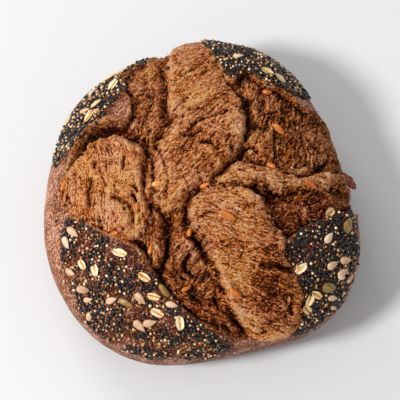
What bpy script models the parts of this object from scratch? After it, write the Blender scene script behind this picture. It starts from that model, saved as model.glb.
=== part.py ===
"""A round multigrain hearth loaf, baked in one piece. It burst through a cross-shaped cut, so four
flaps of smooth crust stand round a torn bloom of folded dough, and seeds and flakes are baked onto
the flaps. Places on it are lengths u, v over the crust from the top of the loaf, u to its right
and v to its back, so a feature keeps its true size where the side falls away.
Lengths are millimetres up to the last step, angles are degrees, and the loaf rests on z = 0."""

import random
from math import cos, pi, radians, sin

import bmesh
import bpy
import numpy as np
from mathutils import Matrix, Vector
from mathutils.bvhtree import BVHTree

MM = 0.001

# The plain loaf: a domed crown over a rounded side and a flat foot.
MEAN_RADIUS = 116
OUTLINE_WAVES = {2: (-3.5, -0.2), 3: (0.2, -4.5), 4: (-1.8, -3.3), 6: (0.0, 1.2)}
CROWN_HEIGHT = 98
WIDEST_HEIGHT = 40
FOOT_SHARE = 0.72
CROWN_POWER = 2.25
FOOT_POWER = 2.2
FOOT_FADE = 22
FOOT_PRESSED = 0.6
# The middle of the finished loaf, measured from under the top of its crown.
MIDDLE = (1.2, 5.6)

# The torn edge of each flap, left front, right front, right back and left back.
TORN_EDGE = [
    (-107, -4), (-94, -22), (-75, -34), (-41, -48), (-34, -59), (-21, -80), (-4, -101), (21, -117),
    (47, -122), (63, -119), (74, -107), (74, -92), (68, -74), (56, -51), (59, -40), (87, -25),
    (128, -12), (158, -4), (166, 10), (132, 50), (106, 68), (80, 68), (60, 74), (43, 75), (30, 81),
    (19, 69), (10, 95), (2, 116), (2, 150), (-8, 165), (-23, 150), (-40, 118), (-53, 103),
    (-57, 88), (-49, 57), (-56, 45), (-69, 49), (-93, 36), (-102, 12),
]
TORN_FLOOR = -11
TORN_WALL = 1.4
# What makes it uneven: height, breadth. Edges wander and fray sideways, strands run with the
# stretch and are this many times longer than broad, clods lie on the ragged folds.
EDGE_DRIFT = (1.5, 17)
EDGE_FRAY = (0.7, 7)
FOLD_FRAY = 2.0
FOLD_FLANK = 1.6
STRANDS = (2.2, 7.5)
STRAND_LENGTH = 4.5
SWELLS = (1.4, 20)
CLODS = (2.4, 9)
SHREDS = (1.6, 6)
CRUST_SWELLS = (0.8, 34)

# Folds of torn dough: a spine of u, v, half width; the height of its back over the crust, its drop
# at the edge, its shoulder, which way it stretched, and how ragged it is from 0 to 1.
FOLDS = {
    "left": ([(-76, -1, 31), (-67, 6, 30), (-56, -10, 23), (-52, -27, 17)], 2.5, 5, 14, 97, 0.1),
    "left back": ([(-30, 140, 12), (-38, 100, 21), (-38, 70, 18), (-38, 45, 14)], -3, 4, 12, 60, 1.0),
    "back": ([(-9, 155, 16), (-7, 115, 18), (-5, 85, 20), (0, 62, 24), (10, 58, 20)], 3, 6, 9, 32, 0.1),
    "middle": ([(-18, -12, 13), (-12, 8, 21), (2, 26, 26), (12, 36, 23)], 4, 6, 12, 42, 0.2),
    "right back": ([(42, 60, 24), (60, 44, 39), (90, 42, 38), (125, 32, 32)], -3, 4, 14, 78, 1.0),
    "knuckle": ([(48, 26, 15), (50, 28, 14)], -1, 5, 8, 60, 0.6),
    "ridge": ([(6, -4, 4), (30, 4, 9), (60, 1, 7), (96, 7, 9), (117, 14, 6)], 0.5, 4, 9, 5, 0.4),
    "right": ([(54, -28, 13), (75, -16, 14), (105, -8, 9), (150, -4, 10)], -5, 3, 10, 30, 0.8),
    "front": ([(12, -26, 20), (24, -28, 22), (32, -55, 27), (44, -85, 29), (52, -98, 25)], 4.5, 6, 12, 172, 0.15),
    "neck": ([(-13, -28, 6), (-11, -46, 9)], -1, 5, 7, 60, 0.4),
    "curl": ([(-9, -62, 12), (-6, -68, 12)], -2, 5, 7, 50, 0.9),
    "knob": ([(6, -82, 8), (7, -84, 8)], -1, 5, 6, 50, 0.6),
    "tail": ([(-21, -70, 3), (-12, -86, 6), (4, -98, 7), (20, -108, 6), (34, -118, 3)], -1, 4, 7, 140, 0.1),
    "crevice wall": ([(-38, 8, 3), (-33, -22, 6), (-30, -42, 8), (-30, -60, 4)], -4, 4, 8, 80, 0.7),
    "hollow": ([(-66, 39, 4), (-50, 38, 7), (-36, 26, 8)], -6, 4, 8, 60, 1.0),
}

# Crevices between and across the folds: points, half width, depth.
CREVICES = [
    ([(-95, 31), (-84, 38), (-70, 43), (-58, 41)], 3.0, 6.0),
    ([(-30, 100), (-27, 80), (-26, 60), (-26, 42)], 2.2, 4.0),
    ([(-38, 30), (-40, 12), (-39, -10), (-32, -24)], 2.6, 5.0),
    ([(-61, -14), (-53, -19), (-47, -25), (-45, -35)], 2.0, 3.4),
    ([(-27, -24), (-20, -31), (-22, -46), (-26, -62)], 2.4, 4.0),
    ([(-9, -18), (-9, -36), (-1, -50), (7, -64), (14, -80), (24, -102), (34, -117)], 2.6, 5.0),
    ([(-8, -15), (8, -4), (22, 10), (31, 24), (34, 44)], 2.4, 5.0),
    ([(20, 68), (30, 58), (36, 44)], 2.6, 4.0),
    ([(38, -10), (44, -4), (55, -8), (64, -14)], 3.0, 5.0),
    ([(72, 4), (84, 9), (100, 15), (112, 17)], 2.2, 6.0),
    ([(42, -62), (50, -60), (58, -61)], 2.6, 5.0),
    ([(40, -6), (42, -13), (43, -18)], 3.0, 4.0),
    ([(110, 66), (120, 46), (126, 28)], 9.0, 3.0),
]

# Lengths of torn edge that curl up: points, lift, overhang, reach into the flap.
LIPS = [
    ([(-102, 10), (-100, 28), (-93, 36), (-81, 43), (-69, 49), (-57, 48), (-50, 57)], 4.5, 2.0, 6.0),
    ([(-56, 92), (-50, 104), (-38, 122)], 2.5, 1.0, 6.0),
    ([(19, 69), (10, 95), (2, 116), (2, 150)], 3.5, 0.5, 16.0),
    ([(43, 75), (60, 74), (80, 68), (106, 66)], 2.0, 1.0, 6.0),
    ([(-41, -48), (-34, -59), (-21, -80), (-4, -101), (21, -117)], 1.5, 0.5, 5.0),
]

LIP_ROOT = 2
LIP_END = 2.5

BODY_FACES = 5400
# Rows of the ball the body is formed from, as shares of the way down: at the widest, at the foot.
WIDEST_ROW = 0.66
FOOT_ROW = 0.84

# Kernels: half length, half width, half thickness, and how far the blunt end outgrows the point.
SUNFLOWER = (4.8, 2.3, 1.3, 0.35)
PUMPKIN = (6.6, 3.9, 1.3, 0.2)
OAT_FLAKE = (4.6, 2.9, 0.7, 0.1)
BAKED_GRAIN = (3.6, 1.7, 1.4, 0.15)
SESAME = (1.7, 1.1, 0.9, 0.25)
# How deep they sit, as a share of their thickness, on the crust and in the crumb.
ON_CRUST = 0.3
IN_CRUMB = 0.5
CLEAR_OF_RELIEF = 25

# The big kernels on the flaps and the grains in the crumb: u, v, turn.
BIG_KERNELS = [
    (SUNFLOWER, [
        (-90, -36, -46), (-95, -43, -64), (-91, -63, -19), (-81, -75, -11), (-59, -82, 19),
        (-39, -82, -50), (-19, -88, -27), (-41, -100, -56), (-34, -99, 5), (86, -39, 52),
        (100, -52, 8), (88, -56, 28), (98, -60, 34), (93, -78, 4), (107, -63, 49),
        (-86, 63, 2), (-82, 84, 48), (-61, 102, 30), (-104, 65, 56), (26, 95, 2),
    ]),
    (PUMPKIN, [(-49, -84, -28), (106, -28, 61), (87, -71, 4)]),
    (OAT_FLAKE, [
        (-53, -53, -18), (-81, -59, -57), (-71, -63, -79), (-36, -68, -36), (-30, -81, -19),
        (-14, -102, 82), (95, -20, 38), (66, -60, 44), (75, -81, 74), (-76, 65, 38),
        (-81, 55, 61), (-64, 82, 59), (57, 84, -23), (47, 86, -14),
    ]),
    (BAKED_GRAIN, [
        (19, -31, -25), (25, -85, -35), (53, 9, -40), (59, 42, -20), (82, 0, -30), (3, -6, 60),
        (-56, -40, 0), (-32, -50, 80), (-103, 1, 75), (48, 69, -15),
    ]),
]

# Where seed was pressed on, as u, v, half width, and how many more of the small seeds are modelled.
SEEDED = {
    "left front": ([(-92, -42, 12), (-80, -62, 20), (-58, -85, 32), (-30, -105, 28), (5, -128, 14), (25, -138, 6)], 26),
    "right front": ([(108, -22, 13), (92, -45, 34), (88, -75, 26), (88, -108, 16)], 22),
    "right back": ([(6, 128, 20), (34, 108, 32), (66, 106, 24)], 18),
    "left back": ([(-112, 34, 6), (-98, 52, 17), (-84, 76, 22), (-66, 96, 16), (-54, 108, 8)], 14),
}
SEED_GAP = 5.5
SEED_EDGE = 4

# The shard of crust that stands out beyond the right end of the ridge, how far, and its lean outwards.
SHARD_AT = (130, 16)
SHARD_HALVES = (10, 3.0, 2.4, -0.25)
SHARD_STANDS = 2
SHARD_LEAN = 0.35

for old in list(bpy.data.objects):
    bpy.data.objects.remove(old)


# Roughness of the dough

def hashed(cell, seed):
    h = (cell @ np.array([374761393, 668265263, 2147483647]) + seed * 974634777) & 0xFFFFFFFF
    h = ((h ^ (h >> 13)) * 1274126177) & 0xFFFFFFFF
    return (h ^ (h >> 16)) & 0xFFFFFFFF


def waves(points, size, octaves, seed):
    """Smooth irregular waves, about -1 to 1, with the broadest about this size."""
    total, strength = np.zeros(len(points)), 1.0
    for octave in range(octaves):
        p = points / size + 17.3 * octave
        cell = np.floor(p).astype(np.int64)
        f = p - cell
        ease = f * f * f * (f * (f * 6 - 15) + 10)
        for corner in np.ndindex(2, 2, 2):
            h = hashed(cell + corner, seed + octave)
            slope = np.stack([h & 1023, (h >> 10) & 1023, (h >> 20) & 1023], 1) / 511.5 - 1
            share = np.where(corner, ease, 1 - ease).prod(1)
            total += 1.3 * strength * share * ((f - corner) * slope).sum(1)
        size, strength = size / 2, strength / 2
    return total


def eased(low, high, x):
    t = np.clip((x - low) / (high - low), 0, 1)
    return t * t * (3 - 2 * t)


# The plain loaf

def profile(steps=300):
    t = np.linspace(0, pi / 2, steps)
    dome = WIDEST_HEIGHT + (CROWN_HEIGHT - WIDEST_HEIGHT) * np.cos(t) ** (2 / CROWN_POWER)
    side = FOOT_SHARE + (1 - FOOT_SHARE) * np.cos(t) ** (2 / FOOT_POWER)
    r = np.concatenate([np.sin(t) ** (2 / CROWN_POWER), side[1:], [0]])
    z = np.concatenate([dome, WIDEST_HEIGHT * (1 - np.sin(t[1:]) ** (2 / FOOT_POWER)), [0]])
    run = np.concatenate([[0], np.cumsum(np.hypot(np.diff(r * MEAN_RADIUS), np.diff(z)))])
    return run, r, z, run[steps - 1], run[-2], run[-1]


RUN, SHARE_OUT, RISE, TO_WIDEST, TO_FOOT, TO_CENTRE = profile()


def plain(uv):
    """The point of the plain loaf at each place on its crust."""
    run, azimuth = np.hypot(*uv.T), np.arctan2(uv[:, 1], uv[:, 0])
    radius = np.full(len(uv), float(MEAN_RADIUS))
    for count, (along, across) in OUTLINE_WAVES.items():
        radius += along * np.cos(count * azimuth) + across * np.sin(count * azimuth)
    r = np.interp(run, RUN, SHARE_OUT) * radius
    return np.stack([r * np.cos(azimuth), r * np.sin(azimuth), np.interp(run, RUN, RISE)], 1)


def crust_frame(uv):
    """Steps along u and v over the plain loaf, and the way out of it."""
    along = (plain(uv + (0.5, 0)) - plain(uv - (0.5, 0)))
    across = (plain(uv + (0, 0.5)) - plain(uv - (0, 0.5)))
    out = np.cross(along, across)
    length = np.linalg.norm(out, axis=1, keepdims=True)
    flat = np.array([0.0, 0.0, 1.0]) * np.where(np.hypot(*uv.T) > TO_FOOT, -1, 1)[:, None]
    return along, across, np.where(length > 1e-6, out / np.maximum(length, 1e-6), flat)


# Shapes drawn on the crust

def curved(points, closed):
    p = np.array(points, float)
    if closed:
        a, b, c, d = (np.roll(p, turn, 0) for turn in (1, 0, -1, -2))
    else:
        ends = np.vstack([2 * p[0] - p[1], p, 2 * p[-1] - p[-2]])
        a, b, c, d = ends[:-3], ends[1:-2], ends[2:-1], ends[3:]
    t = (np.arange(5) / 5)[:, None, None]
    bend = 2 * b + (c - a) * t + (2 * a - 5 * b + 4 * c - d) * t**2 + (3 * b - a - 3 * c + d) * t**3
    line = bend.transpose(1, 0, 2).reshape(-1, p.shape[1]) / 2
    return np.vstack([line, line[:1] if closed else p[-1:]])


def to_line(uv, line):
    """Distance from a line, and the way to its nearest point."""
    nearest, way = np.full(len(uv), 1e9), np.zeros((len(uv), 2))
    for start, end in zip(line, line[1:]):
        leg = end - start
        t = np.clip((uv - start) @ leg / (leg @ leg), 0, 1)
        step = start + t[:, None] * leg - uv
        gap = np.hypot(*step.T)
        closer = gap < nearest
        nearest[closer], way[closer] = gap[closer], step[closer]
    return nearest, way


def within(uv, line):
    crossings = np.zeros(len(uv), bool)
    for start, end in zip(line, line[1:]):
        spans = (start[1] > uv[:, 1]) != (end[1] > uv[:, 1])
        rise = end[1] - start[1] if end[1] != start[1] else 1
        crossings ^= spans & (uv[:, 0] < start[0] + (uv[:, 1] - start[1]) * (end[0] - start[0]) / rise)
    return crossings


def in_limb(uv, spine):
    """How far inside a limb with this spine of u, v, half width; below zero outside it."""
    depth = np.full(len(uv), -1e9)
    for start, end in zip(np.array(spine, float), np.array(spine[1:], float)):
        leg = end[:2] - start[:2]
        t = np.clip((uv - start[:2]) @ leg / (leg @ leg), 0, 1)
        gap = np.hypot(*(start[:2] + t[:, None] * leg - uv).T)
        depth = np.maximum(depth, start[2] + t * (end[2] - start[2]) - gap)
    return depth


def inside_tear(uv):
    line = curved(TORN_EDGE, True)
    gap, way = to_line(uv, line)
    return np.where(within(uv, line), gap, -gap), way


# The relief of the baked loaf: height over the plain crust, and the lips' overhang

def relief(uv, points):
    drift = EDGE_DRIFT[0] * np.stack([waves(points, EDGE_DRIFT[1], 2, seed) for seed in (11, 23)], 1)
    fray = np.stack([waves(points, EDGE_FRAY[1], 1, seed) for seed in (12, 24)], 1)
    inside, way = inside_tear(uv + drift + EDGE_FRAY[0] * fray)
    dough = np.full(len(uv), float(TORN_FLOOR))
    stretch, ragged = np.zeros(len(uv)), np.zeros(len(uv))
    for spine, top, drop, shoulder, turn, raggedness in FOLDS.values():
        depth = in_limb(uv + drift + FOLD_FRAY * fray, spine)
        height = top - drop * (1 - np.clip(depth / shoulder, 0, 1)) ** 2
        height += FOLD_FLANK * np.minimum(depth, 0)
        over = height > dough
        dough[over], stretch[over], ragged[over] = height[over], radians(turn), raggedness
    for line, half_width, deep in CREVICES:
        dough -= deep * np.exp(-((to_line(uv + drift, curved(line, False))[0] / half_width) ** 2))
    along = uv[:, 0] * np.cos(stretch) + uv[:, 1] * np.sin(stretch)
    across = uv[:, 1] * np.cos(stretch) - uv[:, 0] * np.sin(stretch)
    strands = np.stack([along / STRAND_LENGTH, across, 0 * along], 1)
    dough += (1 - ragged) * STRANDS[0] * waves(strands, STRANDS[1], 1, 31)
    dough += (1 - ragged) * SWELLS[0] * waves(points, SWELLS[1], 1, 32)
    dough += ragged * CLODS[0] * waves(points, CLODS[1], 1, 33)
    dough += ragged * SHREDS[0] * waves(strands, SHREDS[1], 1, 34)
    crust = CRUST_SWELLS[0] * waves(points, CRUST_SWELLS[1], 2, 5)
    overhang = np.zeros((len(uv), 2))
    way /= np.maximum(np.hypot(*way.T), 1e-6)[:, None]
    for line, lift, over, reach in LIPS:
        near = np.exp(np.minimum(inside, 0) / reach) * (inside < LIP_ROOT)
        near *= eased(LIP_END * reach, 0, to_line(uv + drift, curved(line, False))[0])
        crust += lift * near
        overhang += np.where(inside[:, None] < 0, way, 0) * (over * near)[:, None]
    torn = eased(-TORN_WALL, TORN_WALL, inside)
    fade = eased(TO_FOOT, TO_FOOT - FOOT_FADE, np.hypot(*uv.T))
    return (crust * (1 - torn) + dough * torn) * fade, overhang * fade[:, None]


# The body, made fine and then thinned to the faces its relief needs

def make_body():
    ball = bmesh.new()
    bmesh.ops.create_icosphere(ball, subdivisions=7, radius=1)
    ways = np.array([vertex.co.normalized()[:] for vertex in ball.verts])
    down = np.arccos(np.clip(ways[:, 2], -1, 1)) / pi
    run = np.interp(down, [0, WIDEST_ROW, FOOT_ROW, 1], [0, TO_WIDEST, TO_FOOT, TO_CENTRE])
    azimuth = np.arctan2(ways[:, 1], ways[:, 0])
    uv = np.stack([run * np.cos(azimuth), run * np.sin(azimuth)], 1)
    points = plain(uv)
    height, overhang = relief(uv, points)
    along, across, out = crust_frame(uv)
    points += out * height[:, None] + along * overhang[:, :1] + across * overhang[:, 1:]
    points[:, :2] -= MIDDLE
    for vertex, point in zip(ball.verts, points):
        vertex.co = Vector(point) * MM
    mesh = bpy.data.meshes.new("loaf")
    ball.to_mesh(mesh)
    ball.free()
    body = bpy.data.objects.new("loaf", mesh)
    bpy.context.collection.objects.link(body)
    thin = body.modifiers.new("thin", "DECIMATE")
    thin.ratio = BODY_FACES / len(mesh.polygons)
    baked = bpy.data.meshes.new_from_object(body.evaluated_get(bpy.context.evaluated_depsgraph_get()))
    for vertex in baked.vertices:
        if vertex.co.z < FOOT_PRESSED * MM:
            vertex.co.z = 0
    body.modifiers.clear()
    body.data = baked
    return body


# Kernels, each a six-sided plump spindle sunk into the crust by nearly half its thickness

def kernel(name, halves, seat, out, heading, sink):
    length, width, thickness, blunt = halves
    shape = bmesh.new()
    bmesh.ops.create_uvsphere(shape, u_segments=6, v_segments=4 if length > 3 else 3, radius=1)
    bmesh.ops.transform(shape, matrix=Matrix.Rotation(pi / 2, 4, "Y"), verts=shape.verts)
    for vertex in shape.verts:
        x, y, z = vertex.co
        swell = 1 + blunt * x
        vertex.co = (length * x, width * y * swell, thickness * z * swell)
    heading = (heading - out * heading.dot(out)).normalized()
    turn = Matrix((heading, out.cross(heading), out)).transposed().to_4x4()
    place = Matrix.Translation(seat + out * (thickness * (1 - 2 * sink)))
    bmesh.ops.transform(shape, matrix=Matrix.Scale(MM, 4) @ place @ turn, verts=shape.verts)
    mesh = bpy.data.meshes.new(name)
    shape.to_mesh(mesh)
    shape.free()
    return bpy.data.objects.new(name, mesh)


def seats(body, places):
    """Where each place meets the baked surface, the way out there, and the crust's u and v."""
    tree = BVHTree.FromObject(body, bpy.context.evaluated_depsgraph_get())
    uv = np.array(places, float)
    along, across, out = crust_frame(uv)
    for point, a, b, way in zip(plain(uv), along, across, out):
        way = Vector(way)
        above = Vector(point) - Vector((*MIDDLE, 0)) + way * CLEAR_OF_RELIEF
        seat, normal, _, _ = tree.ray_cast(above * MM, -way)
        yield seat / MM, (normal + way).normalized(), Vector(a), Vector(b)


def seeded_places():
    """Small seeds spread over the seeded crust, none near another or near a big kernel."""
    chance = random.Random(7)
    taken = [place[:2] for _, places in BIG_KERNELS for place in places]
    found = []
    for spine, count in SEEDED.values():
        reach = np.array(spine, float)
        low, high = (reach[:, :2] - reach[:, 2:]).min(0), (reach[:, :2] + reach[:, 2:]).max(0)
        tries = np.array([[chance.uniform(low[0], high[0]), chance.uniform(low[1], high[1])] for _ in range(1500)])
        good = (in_limb(tries, spine) > 0) & (inside_tear(tries)[0] < -SEED_EDGE)
        kept = 0
        for u, v in tries[good]:
            if kept < count and all((u - a) ** 2 + (v - b) ** 2 > SEED_GAP**2 for a, b in taken):
                taken.append((u, v))
                found.append((u, v, chance.uniform(0, 180)))
                kept += 1
    return found


def make_kernels(body):
    kernels = bpy.data.collections.new("kernels")
    for halves, places in [*BIG_KERNELS, (SESAME, seeded_places())]:
        sink = IN_CRUMB if halves is BAKED_GRAIN else ON_CRUST
        for (u, v, turn), (seat, out, along, across) in zip(places, seats(body, [p[:2] for p in places])):
            heading = along * cos(radians(turn)) + across * sin(radians(turn))
            kernels.objects.link(kernel("kernel", halves, seat, out, heading, sink))
    seat, out, along, across = next(seats(body, [SHARD_AT]))
    heading = out * SHARD_LEAN - across
    kernels.objects.link(kernel("shard", SHARD_HALVES, seat + out * SHARD_STANDS, along, heading, IN_CRUMB))
    return kernels


loaf = make_body()
kernels = make_kernels(loaf)
join = loaf.modifiers.new("join", "BOOLEAN")
join.operation = "UNION"
join.operand_type = "COLLECTION"
join.collection = kernels
join.solver = "MANIFOLD"
bpy.context.view_layer.update()
joined = bpy.data.meshes.new_from_object(loaf.evaluated_get(bpy.context.evaluated_depsgraph_get()))
loaf.modifiers.clear()
loaf.data = joined
joined.name = "loaf"
for helper in list(kernels.objects):
    bpy.data.objects.remove(helper)
bpy.data.collections.remove(kernels)

crust = bpy.data.materials.new("crust")
crust.use_nodes = True
crust.node_tree.nodes["Principled BSDF"].inputs["Base Color"].default_value = (0.23, 0.10, 0.06, 1)
crust.node_tree.nodes["Principled BSDF"].inputs["Roughness"].default_value = 0.8
loaf.data.materials.clear()
loaf.data.materials.append(crust)
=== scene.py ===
"""The looks of a round multigrain hearth loaf. Places on it are lengths u, v in millimetres over the
crust from the top of the crown, u to its right and v to its back; angles are in degrees."""

import random
from math import cos, pi, radians, sin

import bmesh
import bpy
import numpy as np
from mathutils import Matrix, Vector


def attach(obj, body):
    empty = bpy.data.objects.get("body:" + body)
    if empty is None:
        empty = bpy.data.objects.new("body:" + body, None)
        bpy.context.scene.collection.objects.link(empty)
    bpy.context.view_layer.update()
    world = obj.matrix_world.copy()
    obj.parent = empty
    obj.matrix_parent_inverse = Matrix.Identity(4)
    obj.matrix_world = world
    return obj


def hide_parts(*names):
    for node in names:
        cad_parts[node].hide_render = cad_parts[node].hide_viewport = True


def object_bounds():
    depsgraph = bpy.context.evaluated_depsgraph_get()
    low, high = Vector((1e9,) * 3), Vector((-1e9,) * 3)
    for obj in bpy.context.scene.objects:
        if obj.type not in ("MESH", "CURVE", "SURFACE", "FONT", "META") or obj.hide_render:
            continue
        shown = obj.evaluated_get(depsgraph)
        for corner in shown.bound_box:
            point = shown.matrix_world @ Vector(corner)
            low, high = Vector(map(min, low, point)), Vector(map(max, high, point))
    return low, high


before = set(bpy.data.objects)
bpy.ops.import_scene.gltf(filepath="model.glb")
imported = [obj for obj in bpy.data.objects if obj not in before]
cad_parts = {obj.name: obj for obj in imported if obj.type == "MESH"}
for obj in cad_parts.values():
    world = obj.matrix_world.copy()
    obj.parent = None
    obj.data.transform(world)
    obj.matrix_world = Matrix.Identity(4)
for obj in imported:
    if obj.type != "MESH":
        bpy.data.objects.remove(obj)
cad_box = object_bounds()


# The plain loaf: rye dough proved round and baked on a stone, so it has a domed crown, a rounded
# side and a flat foot, and its outline is a little uneven. Everything else is laid out over it.

MM = 0.001
MEAN_RADIUS = 116
OUTLINE_WAVES = {2: (-3.5, -0.2), 3: (0.2, -4.5), 4: (-1.8, -3.3), 6: (0.0, 1.2)}
CROWN_HEIGHT = 98
WIDEST_HEIGHT = 40
FOOT_SHARE = 0.72
CROWN_POWER = 2.25
FOOT_POWER = 2.2
FOOT_FADE = 22
MIDDLE = (1.2, 5.6)


def profile(steps=300):
    """The outline from the top over the side to the middle of the foot, by the run along it."""
    t = np.linspace(0, pi / 2, steps)
    dome = WIDEST_HEIGHT + (CROWN_HEIGHT - WIDEST_HEIGHT) * np.cos(t) ** (2 / CROWN_POWER)
    side = FOOT_SHARE + (1 - FOOT_SHARE) * np.cos(t) ** (2 / FOOT_POWER)
    r = np.concatenate([np.sin(t) ** (2 / CROWN_POWER), side[1:], [0]])
    z = np.concatenate([dome, WIDEST_HEIGHT * (1 - np.sin(t[1:]) ** (2 / FOOT_POWER)), [0]])
    run = np.concatenate([[0], np.cumsum(np.hypot(np.diff(r * MEAN_RADIUS), np.diff(z)))])
    return run, r, z, run[steps - 1], run[-2], run[-1]


RUN, SHARE_OUT, RISE, TO_WIDEST, TO_FOOT, TO_CENTRE = profile()


def plain(uv):
    """The point of the plain loaf at each place on its crust."""
    run, azimuth = np.hypot(*uv.T), np.arctan2(uv[:, 1], uv[:, 0])
    radius = np.full(len(uv), float(MEAN_RADIUS))
    for count, (along, across) in OUTLINE_WAVES.items():
        radius += along * np.cos(count * azimuth) + across * np.sin(count * azimuth)
    r = np.interp(run, RUN, SHARE_OUT) * radius
    return np.stack([r * np.cos(azimuth), r * np.sin(azimuth), np.interp(run, RUN, RISE)], 1)


def crust_frame(uv):
    """Steps along u and v over the plain loaf, and the way out of it."""
    along = plain(uv + (0.5, 0)) - plain(uv - (0.5, 0))
    across = plain(uv + (0, 0.5)) - plain(uv - (0, 0.5))
    out = np.cross(along, across)
    length = np.linalg.norm(out, axis=1, keepdims=True)
    flat = np.array([0.0, 0.0, 1.0]) * np.where(np.hypot(*uv.T) > TO_FOOT, -1, 1)[:, None]
    return along, across, np.where(length > 1e-6, out / np.maximum(length, 1e-6), flat)


# The crust tore open in the oven along a cross-shaped cut, and left four flaps. This is the torn
# edge of each flap: left front, right front, right back and left back.

TORN_EDGE = [
    (-107, -4), (-94, -22), (-75, -34), (-41, -48), (-34, -59), (-21, -80), (-4, -101), (21, -117),
    (47, -122), (63, -119), (74, -107), (74, -92), (68, -74), (56, -51), (59, -40), (87, -25),
    (128, -12), (158, -4), (166, 10), (132, 50), (106, 68), (80, 68), (60, 74), (43, 75), (30, 81),
    (19, 69), (10, 95), (2, 116), (2, 150), (-8, 165), (-23, 150), (-40, 118), (-53, 103),
    (-57, 88), (-49, 57), (-56, 45), (-69, 49), (-93, 36), (-102, 12),
]
TORN_WALL = 0.8
EDGE_DRIFT = (1.5, 17)
EDGE_FRAY = (0.7, 7)


def curved(points, closed):
    """A smooth line through the points."""
    p = np.array(points, float)
    if closed:
        a, b, c, d = (np.roll(p, turn, 0) for turn in (1, 0, -1, -2))
    else:
        ends = np.vstack([2 * p[0] - p[1], p, 2 * p[-1] - p[-2]])
        a, b, c, d = ends[:-3], ends[1:-2], ends[2:-1], ends[3:]
    t = (np.arange(5) / 5)[:, None, None]
    bend = 2 * b + (c - a) * t + (2 * a - 5 * b + 4 * c - d) * t**2 + (3 * b - a - 3 * c + d) * t**3
    line = bend.transpose(1, 0, 2).reshape(-1, p.shape[1]) / 2
    return np.vstack([line, line[:1] if closed else p[-1:]])


def to_line(uv, line):
    """Distance from a line, and the way to its nearest point."""
    nearest, way = np.full(len(uv), 1e9), np.zeros((len(uv), 2))
    for start, end in zip(line, line[1:]):
        leg = end - start
        t = np.clip((uv - start) @ leg / (leg @ leg), 0, 1)
        step = start + t[:, None] * leg - uv
        gap = np.hypot(*step.T)
        closer = gap < nearest
        nearest[closer], way[closer] = gap[closer], step[closer]
    return nearest, way


def inside_tear(uv):
    """How far inside the torn edge, below zero on the flaps, and the way to that edge."""
    line = curved(TORN_EDGE, True)
    gap, way = to_line(uv, line)
    crossings = np.zeros(len(uv), bool)
    for start, end in zip(line, line[1:]):
        spans = (start[1] > uv[:, 1]) != (end[1] > uv[:, 1])
        rise = end[1] - start[1] if end[1] != start[1] else 1
        crossings ^= spans & (uv[:, 0] < start[0] + (uv[:, 1] - start[1]) * (end[0] - start[0]) / rise)
    return np.where(crossings, gap, -gap), way


# The bloom: soft dough that swelled out of the tear and baked as folds with crevices between them.
# A fold has a spine of u, v, half width; the height of its back over the crust, its drop at the
# edge, its shoulder, which way it stretched, and how ragged and how dark it is from 0 to 1.

FOLDS = {
    "left": ([(-76, -1, 31), (-67, 6, 30), (-56, -10, 23), (-52, -27, 17)], 2.5, 5, 14, 97, 0.1, 0.0),
    "left back": (
        [(-30, 140, 12), (-38, 100, 21), (-38, 70, 18), (-38, 45, 14)],
        -3, 4, 12, 60, 1.0, 0.42,
    ),
    "back": (
        [(-9, 155, 16), (-7, 115, 18), (-5, 85, 20), (0, 62, 24), (10, 58, 20)],
        3, 6, 9, 32, 0.1, 0.12,
    ),
    "middle": ([(-18, -12, 13), (-12, 8, 21), (2, 26, 26), (12, 36, 23)], 4, 6, 12, 42, 0.2, 0.18),
    "right back": ([(42, 60, 24), (60, 44, 39), (90, 42, 38), (125, 32, 32)], -3, 4, 14, 78, 1.0, 0.55),
    "knuckle": ([(48, 26, 15), (50, 28, 14)], -1, 5, 8, 60, 0.6, 0.4),
    "ridge": ([(6, -4, 4), (30, 4, 9), (60, 1, 7), (96, 7, 9), (117, 14, 6)], 0.5, 4, 9, 5, 0.4, 0.15),
    "right": ([(54, -28, 13), (75, -16, 14), (105, -8, 9), (150, -4, 10)], -5, 3, 10, 30, 0.8, 0.9),
    "front": (
        [(12, -26, 20), (24, -28, 22), (32, -55, 27), (44, -85, 29), (52, -98, 25)],
        4.5, 6, 12, 172, 0.15, 0.15,
    ),
    "neck": ([(-13, -28, 6), (-11, -46, 9)], -1, 5, 7, 60, 0.4, 0.5),
    "curl": ([(-9, -62, 12), (-6, -68, 12)], -2, 5, 7, 50, 0.9, 0.42),
    "knob": ([(6, -82, 8), (7, -84, 8)], -1, 5, 6, 50, 0.6, 0.6),
    "tail": (
        [(-21, -70, 3), (-12, -86, 6), (4, -98, 7), (20, -108, 6), (34, -118, 3)],
        -1, 4, 7, 140, 0.1, 0.7,
    ),
    "crevice wall": ([(-38, 8, 3), (-33, -22, 6), (-30, -42, 8), (-30, -60, 4)], -4, 4, 8, 80, 0.7, 0.55),
    "hollow": ([(-66, 39, 4), (-50, 38, 7), (-36, 26, 8)], -6, 4, 8, 60, 1.0, 0.8),
}
TORN_FLOOR = -11

# Spots that baked darker or stayed paler: u, v, reach, and how much darker.
TOASTED = [
    ((49, -76, 15), 0.7), ((62, -90, 14), 0.6), ((48, -54, 9), 0.5), ((50, -34, 10), 0.35),
    ((40, -110, 12), 0.2), ((-7, -68, 12), 0.3), ((0, -92, 12), 0.3), ((-24, -40, 12), 0.35),
    ((78, 56, 24), 0.3), ((-72, 32, 12), 0.3), ((114, 14, 12), 0.4), ((92, 8, 8), 0.2),
    ((-60, -8, 20), -0.18), ((24, -34, 12), -0.18), ((-80, 2, 16), -0.18),
]
FOLD_FRAY = 2.0
FOLD_FLANK = 1.6

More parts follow.
